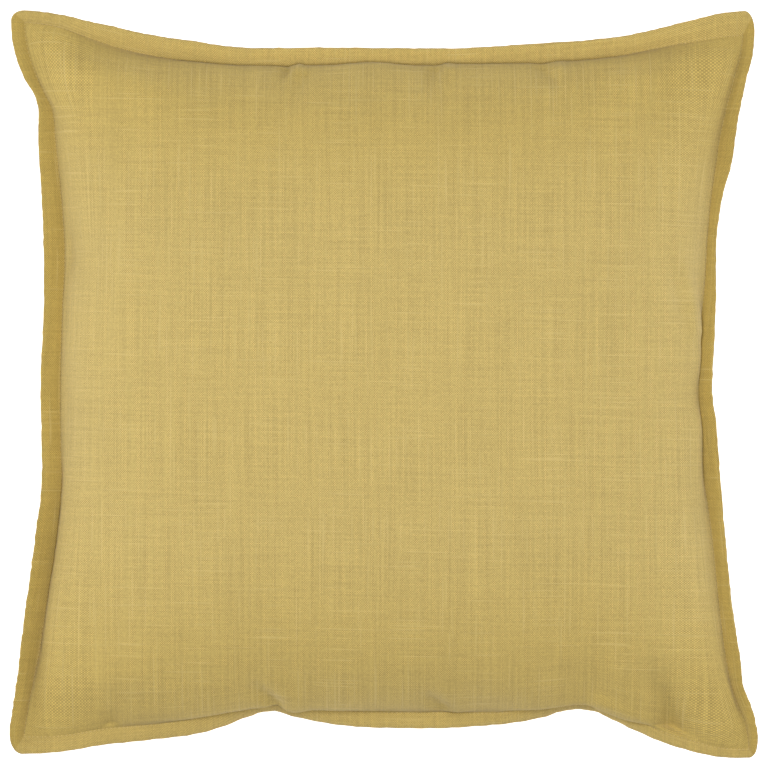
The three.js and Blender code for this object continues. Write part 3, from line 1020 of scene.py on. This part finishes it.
class NodeBench:
    """Adds nodes to one material."""

    def __init__(self, name: str) -> None:
        """Start a material with an empty tree."""
        self.material = bpy.data.materials.new(name)
        self.material.use_nodes = True
        self.tree = self.material.node_tree
        self.tree.nodes.clear()

    def add(self, kind: str, settings: dict | None = None, inputs: dict | None = None, output: int | str = 0) -> Wire:
        """Add a node.

        Args:
            kind: the node's type.
            settings: its properties, set first.
            inputs: values or wires of its sockets, by name or number.
            output: which of its outputs is returned.

        Returns:
            The output's wire.
        """
        given = {name: value.socket if isinstance(value, Wire) else value for name, value in (inputs or {}).items()}
        return Wire(self, add_node(self.tree, kind, settings, given).outputs[output])

    def vector(self, x: "Wire | float", y: "Wire | float", z: "Wire | float" = 0.0) -> Wire:
        """Join three values."""
        return self.add("ShaderNodeCombineXYZ", None, {0: x, 1: y, 2: z})

    def noise(self, vector: Wire, detail: float = 0, roughness: float = 0.5) -> Wire:
        """Read a noise whose cells are one unit wide."""
        inputs = {"Vector": vector, "Scale": 1.0, "Detail": detail, "Roughness": roughness}
        return self.add("ShaderNodeTexNoise", {"noise_dimensions": "3D"}, inputs)

    def blend(self, factor: Wire, first: "Wire | tuple", second: "Wire | tuple") -> Wire:
        """Mix two colours."""
        ends = [end if isinstance(end, Wire) else (*end, 1) for end in (first, second)]
        return self.add("ShaderNodeMix", {"data_type": "RGBA"}, {0: factor, 6: ends[0], 7: ends[1]}, 2)

    def tint(self, colour: "Wire | tuple", strength: Wire) -> Wire:
        """Scale a colour."""
        return self.add("ShaderNodeVectorMath", {"operation": "SCALE"}, {0: colour, "Scale": strength})

    def finish(self, surface: dict, bump: Wire, strength: float, distance: float) -> bpy.types.Material:
        """End the tree in a Principled surface.

        Args:
            surface: its sockets.
            bump: height of its relief.
            strength: strength of the relief.
            distance: metres for a height of 1.

        Returns:
            The material.
        """
        normal = self.add("ShaderNodeBump", None, {"Strength": strength, "Distance": distance, "Height": bump})
        shader = self.add("ShaderNodeBsdfPrincipled", None, {**surface, "Normal": normal})
        target = self.tree.nodes.new("ShaderNodeOutputMaterial")
        self.tree.links.new(shader.socket, target.inputs["Surface"])
        return self.material


@dataclass(frozen=True)
class SlubCloth:
    """Matte plain weave of uneven yarn, in the cloth's own coordinates.

    Attributes:
        colour: the body's colour.
        pale: colour of slubs.
        deep: colour of specks, and of the painted shade in needle holes.
        rim_shade: painted shade of the body near the top and bottom seams, darker and more saturated.
        flange_press_and_shade: the flange at top and bottom, darker for pressed cloth and painted shade.
        side_flange_shade: the flange at the sides, darker and more saturated, painted shade.
        rim_shade_reach: distances past those seams at which the painted shade starts and is whole.
        pitch: distance from thread to thread.
        warp_shade: strength of the warp threads' uneven shades.
        weft_shade: the same for the weft.
        streak_width: width of the soft streaks.
        warp_streak: their strength along the warp.
        weft_streak: their strength along the weft.
        slub_paleness: how far a slub takes the pale colour.
        speck_depth: how far a speck takes the deep colour.
        painted_hole_shade: how far a needle hole takes the deep colour, as painted shade.
        roughness: mean roughness.
        sheen: strength of the fuzz's sheen.
        sheen_tint: its colour.
        gloss: strength of the highlight.
        relief: strength of the relief.
        relief_height: its height in metres.
        half_seam: distance of the stitching from the middle of the flat panel.
        panel_gap: distance between the two panels in the coordinate maps.
        stitch_pitch: distance from stitch to stitch.
        stitch_reach: distance of the line of stitches from the middle.
        stitch_out: its distance from the seam.
    """

    colour: tuple[float, float, float] = (0.5, 0.375, 0.128)
    pale: tuple[float, float, float] = (0.64, 0.495, 0.2)
    deep: tuple[float, float, float] = (0.36, 0.25, 0.066)
    rim_shade: tuple[float, float, float] = (0.474, 0.346, 0.1)
    flange_press_and_shade: tuple[float, float, float] = (0.482, 0.351, 0.107)
    side_flange_shade: tuple[float, float, float] = (0.424, 0.299, 0.075)
    rim_shade_reach: tuple[float, float] = (-150, -15)
    pitch: float = 0.78
    warp_shade: float = 0.27
    weft_shade: float = 0.18
    streak_width: float = 1.4
    warp_streak: float = 0.052
    weft_streak: float = 0.06
    slub_paleness: float = 0.32
    speck_depth: float = 0.6
    painted_hole_shade: float = 0.25
    roughness: float = 0.88
    sheen: float = 0.22
    sheen_tint: tuple[float, float, float, float] = (1, 0.95, 0.82, 1)
    gloss: float = 0.18
    relief: float = 0.55
    relief_height: float = 0.0003
    half_seam: float = 239
    panel_gap: float = 1100
    stitch_pitch: float = 2.7
    stitch_reach: float = 239.7
    stitch_out: float = 0.7

    @staticmethod
    def places(bench: NodeBench, title: str) -> tuple[Wire, Wire]:
        """Read one of the cover's coordinate maps, in millimetres."""
        place = bench.add("ShaderNodeUVMap", {"uv_map": title})
        split = bench.add("ShaderNodeSeparateXYZ", None, {0: place})
        return split * 1000, Wire(bench, split.socket.node.outputs[1]) * 1000

    def thread(self, bench: NodeBench, across: Wire, along: Wire, length: float, seed: float) -> Wire:
        """Give each thread its own uneven shade along its length.

        Args:
            bench: where nodes are added.
            across: place across the threads.
            along: place along them.
            length: how far a shade lasts.
            seed: offset of the noise.

        Returns:
            A shade between -0.5 and 0.5.
        """
        row = (across * (1 / self.pitch)).floor() * 7.31
        return bench.noise(bench.vector(row, along * (1 / length), seed)) - 0.5

    def streak(self, bench: NodeBench, across: Wire, along: Wire, width: float, length: float, seed: float) -> Wire:
        """Give a soft streak that is much longer than it is wide, between -0.5 and 0.5."""
        return bench.noise(bench.vector(across * (1 / width), along * (1 / length), seed)) - 0.5

    def make(self) -> bpy.types.Material:
        """Build the material."""
        bench = NodeBench("slub_cloth")
        spread_x, y = self.places(bench, "cloth")
        x = spread_x - (spread_x > self.panel_gap / 2) * self.panel_gap
        flat_x, flat_y = self.places(bench, "weave")
        drift = bench.noise(bench.vector(flat_x * 0.008, flat_y * 0.008, 3.0)) * 1.2
        warp, weft = flat_x + drift, flat_y + drift
        shade = self.thread(bench, warp, flat_y, 80, 11.0) * self.warp_shade
        shade = shade + self.thread(bench, weft, flat_x, 45, 23.0) * self.weft_shade
        shade = shade + self.streak(bench, warp, flat_y, self.streak_width, 120, 31.0) * self.warp_streak
        shade = shade + self.streak(bench, weft, flat_x, self.streak_width, 60, 47.0) * self.weft_streak
        slub_weft = self.thread(bench, weft, flat_x, 48, 61.0).rise(0.17, 0.3)
        slub_warp = self.thread(bench, warp, flat_y, 60, 71.0).rise(0.16, 0.3)
        slub = slub_weft.larger(slub_warp)
        i, j = warp * (1 / self.pitch), weft * (1 / self.pitch)
        over = (i.floor() + j.floor()) * 0.5
        over = (over - over.floor()) * 2
        crown_warp, crown_weft = abs((i * np.pi).sine()), abs((j * np.pi).sine())
        weave = over * crown_warp * (0.55 + 0.45 * crown_weft)
        weave = weave + (1 - over) * crown_weft * (0.55 + 0.45 * crown_warp)
        crossing = bench.add(
            "ShaderNodeTexWhiteNoise", {"noise_dimensions": "2D"}, {"Vector": bench.vector(i.floor(), j.floor())})
        fleck = bench.noise(bench.vector(flat_x * 1.1, flat_y * 1.1, 83.0), 2.0, 0.7)
        speck = bench.noise(bench.vector(flat_x * 0.8, flat_y * 0.8, 97.0)).rise(0.24, 0.18)
        # The over and weave terms paint light and shade: warp-over cells lighter than weft-over ones, thread crowns
        # lighter and the gaps between threads darker.
        tone = 1 + shade + (over - 0.5) * 0.4 + (weave - 0.5) * 0.2 + (crossing - 0.5) * 0.16
        off_seam = abs(x).larger(abs(y)) - self.half_seam
        beside = abs(x) > abs(y)
        # Painted shade: the body turns darker and more saturated towards the top and bottom seams.
        rim_shade = bench.blend((abs(y) - self.half_seam).rise(*self.rim_shade_reach), self.colour, self.rim_shade)
        # Painted shade: the flange is darker at the sides than at the top and bottom; its top and bottom colour is
        # partly pressed cloth.
        flange_press_and_shade = bench.blend(beside, self.flange_press_and_shade, self.side_flange_shade)
        # Painted shade: the flange is darkest beside the stitching and lightens further out.
        rim_shade = bench.blend(off_seam.rise(-1, 1), rim_shade, bench.tint(flange_press_and_shade, 0.96 + off_seam.rise(3, 11) * 0.06))
        body = bench.blend(slub * self.slub_paleness, bench.tint(rim_shade, tone), self.pale)
        body = bench.blend(speck * self.speck_depth, body, self.deep)
        # Painted shade: the needle holes darken the colour in dots along the stitching; the same mask dents the
        # relief.
        run = beside * y + (1 - beside) * x
        stitch = (run + self.stitch_reach) * (1 / self.stitch_pitch)
        hole = abs(stitch - stitch.floor() - 0.5).rise(0.34, 0.46) * abs(off_seam - self.stitch_out).rise(0.8, 0.3)
        body = bench.blend(hole * self.painted_hole_shade, body, self.deep)
        height = weave * 0.6 + over * 0.4 + crossing * 0.25 + slub * 0.9 + (fleck - 0.5) * 0.2 + shade * 0.8 - hole
        surface = {
            "Base Color": body, "Roughness": self.roughness + (fleck - 0.5) * 0.1, "Sheen Weight": self.sheen,
            "Sheen Roughness": 0.45, "Sheen Tint": self.sheen_tint, "Specular IOR Level": self.gloss}
        return bench.finish(surface, height, self.relief, self.relief_height)


@dataclass(frozen=True)
class SewingThread:
    """Twisted sewing thread in the cover's colour."""

    colour: tuple[float, float, float] = (0.5, 0.365, 0.12)

    def make(self) -> bpy.types.Material:
        """Build the material."""
        bench = NodeBench("sewing_thread")
        place = bench.add("ShaderNodeTexCoord", None, None, "Object")
        twist = bench.noise(bench.add("ShaderNodeVectorMath", {"operation": "SCALE"}, {0: place, "Scale": 2600.0}))
        colour = bench.tint(self.colour, 0.8 + twist * 0.4)
        surface = {"Base Color": colour, "Roughness": 0.6 + twist * 0.2, "Sheen Weight": 0.2}
        return bench.finish(surface, twist, 0.4, 0.0002)


@dataclass(frozen=True)
class FloorPaint:
    """Plain white floor, lit evenly."""

    colour: tuple[float, float, float, float] = (0.93, 0.93, 0.93, 1)
    glow: float = 0.72

    def make(self) -> bpy.types.Material:
        """Build the material."""
        bench = NodeBench("studio_floor")
        place = bench.add("ShaderNodeTexCoord", None, None, "Object")
        grain = bench.noise(place)
        surface = {
            "Base Color": self.colour, "Roughness": 0.9 + grain * 0.05,
            "Emission Color": (1, 1, 1, 1), "Emission Strength": self.glow}
        return bench.finish(surface, grain, 0.02, 0.001)


@dataclass
class Topstitching:
    """One line of stitches all round, seen on the face and on the back.

    Attributes:
        layout: the cover's stations.
        pitch: distance from stitch to stitch that is aimed at.
        length: length of a stitch.
        thread: width of the thread.
        rise: height of a stitch above the cloth.
        dip: how far its ends go in, as a share of the rise.
        arch: height of its bending point, as a share of the rise.
        sides: corners of the thread's section, and points along a stitch.
        sizes: least and greatest size of a stitch.
        seed: seed of their sizes.
    """

    layout: Layout
    pitch: float = 2.7
    length: float = 2.1
    thread: float = 0.45
    rise: float = 0.32
    dip: float = 1.2
    arch: float = 1.8
    sides: int = 6
    sizes: tuple[float, float] = (0.92, 1.06)
    seed: int = 5

    @property
    def reach(self) -> float:
        """Distance from the pillow's middle to the line of stitches, on the flat cloth."""
        return abs(float(self.layout.lay[self.layout.seam - 1]))

    @property
    def spacing(self) -> float:
        """Distance from stitch to stitch that makes whole stitches on each side."""
        return 2 * self.reach / round(2 * self.reach / self.pitch)

    def places(self, points: Array, panel: Panel) -> tuple[Array, Array, Array]:
        """Find the middle of each stitch.

        Args:
            points: the panel's points.
            panel: which panel they are.

        Returns:
            The middles, the directions along the stitching and the outward normals.
        """
        layout = self.layout
        column = layout.seam - 1
        reach = self.reach
        runs = np.arange(-reach + self.spacing / 2, reach, self.spacing)
        middles, alongs, normals = [], [], []
        for side in SIDES:
            rows = np.swapaxes(points, 0, 1) if side.axis == 0 else points
            line, beside = (rows[column], rows[column - 1]) if side.sign < 0 else (rows[-1 - column], rows[-column])
            middle = through(layout.lay, line, runs)
            first, last = (through(layout.lay, line, runs + end * self.length / 2) for end in (-1, 1))
            ahead, outward = last - first, through(layout.lay, beside, runs) - middle
            normal = unit(np.cross(ahead, outward))
            normal *= panel.value * np.sign(normal[:, 2:3])
            middles.append(middle)
            alongs.append(unit(ahead))
            normals.append(normal)
        return np.concatenate(middles), np.concatenate(alongs), np.concatenate(normals)

    def tree(self) -> bpy.types.GeometryNodeTree:
        """Build the node tree that puts a stitch at each point."""
        tree = bpy.data.node_groups.new("topstitch", "GeometryNodeTree")
        face = tree.interface
        face.new_socket("Geometry", in_out="INPUT", socket_type="NodeSocketGeometry")
        sizes = {"Stitch length": self.length * MM, "Thread width": self.thread * MM, "Rise": self.rise * MM}
        for name, value in sizes.items():
            face.new_socket(name, in_out="INPUT", socket_type="NodeSocketFloat").default_value = value
        face.new_socket("Seed", in_out="INPUT", socket_type="NodeSocketInt").default_value = self.seed
        face.new_socket("Thread", in_out="INPUT", socket_type="NodeSocketMaterial")
        face.new_socket("Geometry", in_out="OUTPUT", socket_type="NodeSocketGeometry")

        def add(kind: str, inputs: dict, settings: dict | None = None, output: int = 0) -> bpy.types.NodeSocket:
            """Add a node and give one of its outputs."""
            return add_node(tree, kind, settings, inputs).outputs[output]

        def scaled(size: bpy.types.NodeSocket, factor: float) -> bpy.types.NodeSocket:
            """Multiply a size."""
            return add("ShaderNodeMath", {0: size, 1: factor}, {"operation": "MULTIPLY"})

        given = tree.nodes.new("NodeGroupInput").outputs
        half = scaled(given["Stitch length"], 0.5)
        sunk = scaled(given["Rise"], -self.dip)
        start = add("ShaderNodeCombineXYZ", {0: scaled(half, -1.0), 2: sunk})
        middle = add("ShaderNodeCombineXYZ", {2: scaled(given["Rise"], self.arch)})
        end = add("ShaderNodeCombineXYZ", {0: half, 2: sunk})
        arc = add("GeometryNodeCurveQuadraticBezier", {
            "Resolution": self.sides, "Start": start, "Middle": middle, "End": end})
        ring = add("GeometryNodeCurvePrimitiveCircle", {
            "Resolution": self.sides, "Radius": scaled(given["Thread width"], 0.5)})
        stitch = add("GeometryNodeCurveToMesh", {"Curve": arc, "Profile Curve": ring, "Fill Caps": True})
        along, up = (
            add("GeometryNodeInputNamedAttribute", {"Name": name}, {"data_type": "FLOAT_VECTOR"})
            for name in ("along", "up"))
        turned = add("FunctionNodeAlignRotationToVector", {"Vector": along}, {"axis": "X"})
        turned = add("FunctionNodeAlignRotationToVector", {"Rotation": turned, "Vector": up}, {
            "axis": "Z", "pivot_axis": "X"})
        size = add("FunctionNodeRandomValue", {2: self.sizes[0], 3: self.sizes[1], "Seed": given["Seed"]}, {
            "data_type": "FLOAT"}, 1)
        placed = add("GeometryNodeInstanceOnPoints", {
            "Points": given["Geometry"], "Instance": stitch, "Rotation": turned, "Scale": size})
        solid = add("GeometryNodeRealizeInstances", {"Geometry": placed})
        smooth = add("GeometryNodeSetShadeSmooth", {"Geometry": solid, "Shade Smooth": True})
        dressed = add("GeometryNodeSetMaterial", {"Geometry": smooth, "Material": given["Thread"]})
        result = tree.nodes.new("NodeGroupOutput")
        tree.links.new(dressed, result.inputs["Geometry"])
        return tree

    def build(self, name: str, points: Array, panel: Panel, finish: bpy.types.Material) -> bpy.types.Object:
        """Sew the stitches on one panel.

        Args:
            name: the piece's name.
            points: the panel's points.
            panel: which panel they are.
            finish: the thread's material.

        Returns:
            The stitches as one mesh.
        """
        middles, alongs, normals = self.places(points, panel)
        dots = bpy.data.meshes.new(name + "_dots")
        dots.from_pydata((middles * MM).tolist(), [], [])
        for title, vectors in {"along": alongs, "up": normals}.items():
            dots.attributes.new(title, "FLOAT_VECTOR", "POINT").data.foreach_set("vector", vectors.ravel())
        holder = put(name + "_dots", dots)
        modifier = holder.modifiers.new("topstitch", "NODES")
        modifier.node_group = self.tree()
        given = {"Stitch length": self.length * MM, "Thread width": self.thread * MM, "Rise": self.rise * MM,
                 "Seed": self.seed, "Thread": finish}
        for item in modifier.node_group.interface.items_tree:
            if item.in_out == "INPUT" and item.name in given:
                modifier[item.identifier] = given[item.name]
        done = holder.evaluated_get(bpy.context.evaluated_depsgraph_get())
        mesh = bpy.data.meshes.new_from_object(done)
        mesh.name = name
        holder.modifiers.remove(modifier)
        bpy.data.objects.remove(holder)
        return put(name, mesh)


@dataclass(frozen=True)
class Softbox:
    """A soft light that points at the pillow.

    Attributes:
        name: its name.
        azimuth: degrees from +X towards +Y.
        elevation: degrees above the floor.
        power: watts.
        tall: its height in metres.
    """

    name: str
    azimuth: float
    elevation: float
    power: float
    tall: float = 1.6


@dataclass
class Studio:
    """White floor, soft lights all round and a camera straight above."""

    frame_width: float = 0.5153
    centre: tuple[float, float] = (0.00034, 0.0)
    focus_height: float = 0.058
    distance: float = 4.0
    sensor: float = 36
    light_distance: float = 2.2
    light_size: float = 1.6
    softboxes: tuple[Softbox, ...] = (
        Softbox("left_softbox", 180, 12, 21.4, 1.1), Softbox("right_softbox", 0, 12, 15.6, 1.1),
        Softbox("top_softbox", 90, 60, 3), Softbox("overhead_softbox", 90, 89, 55.8),
    )
    backdrop: float = 0.0
    floor_size: float = 6

    def hang(self, softbox: Softbox) -> None:
        """Hang one soft light that points at the pillow."""
        lamp = bpy.data.lights.new(softbox.name, "AREA")
        lamp.shape, lamp.energy = "RECTANGLE", softbox.power
        lamp.size, lamp.size_y = self.light_size, softbox.tall
        turn, height = np.radians(softbox.azimuth), np.radians(softbox.elevation)
        away = Vector((np.cos(height) * np.cos(turn), np.cos(height) * np.sin(turn), np.sin(height)))
        light = put(softbox.name, lamp)
        light.location = Vector((0, 0, self.focus_height)) + away * self.light_distance
        light.rotation_euler = (-away).to_track_quat("-Z", "Y").to_euler()
        light.visible_camera = False

    def build(self) -> bpy.types.Object:
        """Set up the floor, the lights and the camera, and return the floor."""
        scene = bpy.context.scene
        side = self.floor_size / 2
        mesh = bpy.data.meshes.new("studio_floor")
        corners = [(-side, -side, 0), (side, -side, 0), (side, side, 0), (-side, side, 0)]
        mesh.from_pydata(corners, [], [(0, 1, 2, 3)])
        mesh.materials.append(FloorPaint().make())
        floor = put("studio_floor", mesh)
        for softbox in self.softboxes:
            self.hang(softbox)
        world = bpy.data.worlds.new("studio")
        world.use_nodes = True
        world.node_tree.nodes["Background"].inputs[0].default_value = (*[self.backdrop] * 3, 1)
        scene.world = world
        camera = put("camera", bpy.data.cameras.new("camera"))
        camera.data.sensor_width = self.sensor
        camera.data.lens = self.sensor * self.distance / self.frame_width
        camera.location = (*self.centre, self.focus_height + self.distance)
        scene.camera = camera
        scene.view_settings.view_transform = "Standard"
        return floor


def main() -> None:
    """Dress the pillow, piece by piece."""
    logging.basicConfig(level=logging.INFO, format="%(message)s")
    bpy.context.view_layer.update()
    floor = Studio().build()
    form = SewnForm()
    maker = PillowCover(form)
    cover, sheets, layout = maker.build()
    sewing = Topstitching(layout)
    cloth = SlubCloth(
        half_seam=form.half_seam, panel_gap=maker.panel_gap, stitch_pitch=sewing.spacing,
        stitch_reach=sewing.reach, stitch_out=sewing.reach - form.half_seam)
    cover.data.materials.append(cloth.make())
    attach(cover, ROOT)
    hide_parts("cushion", "flange_front", "flange_back")
    LOG.info("cover: %d faces", len(cover.data.polygons))
    thread = SewingThread().make()
    for name, panel in {"topstitch_front": Panel.FACE, "topstitch_back": Panel.BACK}.items():
        stitches = sewing.build(name, sheets[panel], panel, thread)
        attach(stitches, ROOT)
        LOG.info("%s: %d faces", name, len(stitches.data.polygons))


if __name__ == "__main__":
    main()
